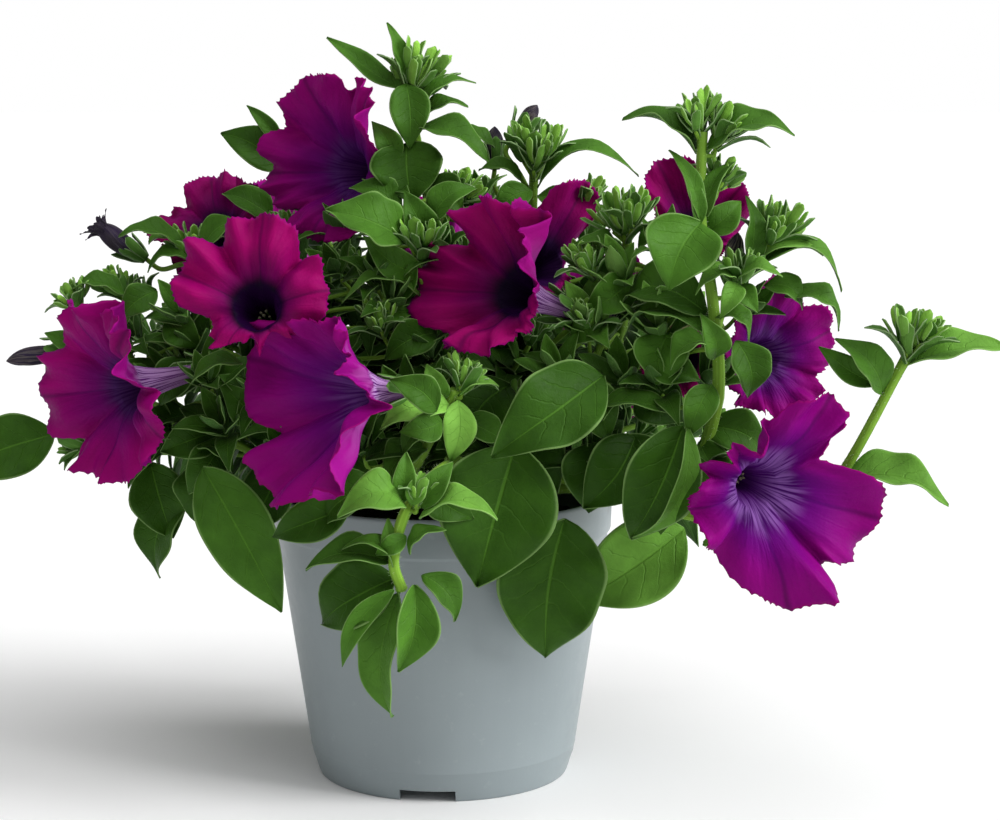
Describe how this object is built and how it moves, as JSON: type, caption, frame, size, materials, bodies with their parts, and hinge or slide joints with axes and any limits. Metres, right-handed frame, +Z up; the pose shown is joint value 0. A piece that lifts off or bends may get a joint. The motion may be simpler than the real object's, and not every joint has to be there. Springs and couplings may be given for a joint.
{
  "type": "potted trailing petunia",
  "caption": "Bushy trailing petunia with ruffled magenta-purple funnel blooms over broad green leaves, growing in a plain grey tapered plastic grower's pot.",
  "frame": {"origin": "centre of the pot's foot, on the ground", "axes": "+Z up through the pot's centre line, +X to the viewer's right along the plant's widest spread, -Y towards the viewer"},
  "size_m": [0.3896, 0.2468, 0.2845],
  "materials": {
    "pot": "satin",
    "compost": "matte",
    "crown": "matte",
    "stem": "soft hairy",
    "leaf": "soft satin",
    "young_leaf": "soft satin",
    "petal": "velvety",
    "bud": "velvety"
  },
  "bodies": {
    "root": {"bud_far_left": "bud", "bud_left": "bud", "bud_right": "bud", "compost": "compost", "corolla_back_left": "petal", "corolla_back_right": "petal", "corolla_far_left": "petal", "corolla_front_left": "petal", "corolla_front_middle": "petal", "corolla_front_right": "petal", "corolla_left": "petal", "corolla_middle": "petal", "corolla_middle_behind": "petal", "corolla_right": "petal", "corolla_right_behind": "petal", "corolla_top_left": "petal", "leaf_back_left": "leaf", "leaf_back_middle": "leaf", "leaf_back_right": "leaf", "leaf_bright_left": "young_leaf", "leaf_bright_right": "young_leaf", "leaf_broad_front": "leaf", "leaf_broad_lower": "leaf", "leaf_broad_upper": "leaf", "leaf_far_left": "leaf", "leaf_hanging_curled": "leaf", "leaf_hanging_long": "leaf", "leaf_left_front": "leaf", "leaf_left_lower": "leaf", "leaf_over_bloom": "leaf", "leaf_right_grey": "leaf", "leaf_right_inner": "leaf", "leaf_right_rim": "leaf", "leaf_right_shoot_low": "young_leaf", "leaf_right_shoot_tip": "young_leaf", "leaf_top_left": "leaf", "leaf_top_right": "leaf", "pot": "pot", "root_crown": "crown", "shoot_tip_left": "young_leaf", "shoot_tip_right_low": "young_leaf", "shoot_tip_right_middle": "young_leaf", "shoot_tip_right_side": "young_leaf", "shoot_tip_right_tall": "young_leaf", "shoot_tip_top_left": "young_leaf", "shoot_tip_top_middle": "young_leaf", "stem_back_left": "stem", "stem_back_right": "stem", "stem_front_hanging": "stem", "stem_front_short": "stem", "stem_left_front": "stem", "stem_left_long": "stem", "stem_left_low": "stem", "stem_left_upper": "stem", "stem_right_low": "stem", "stem_right_middle": "stem", "stem_right_tall": "stem", "stem_top_left": "stem", "stem_top_middle": "stem"}
  },
  "joints": []
}
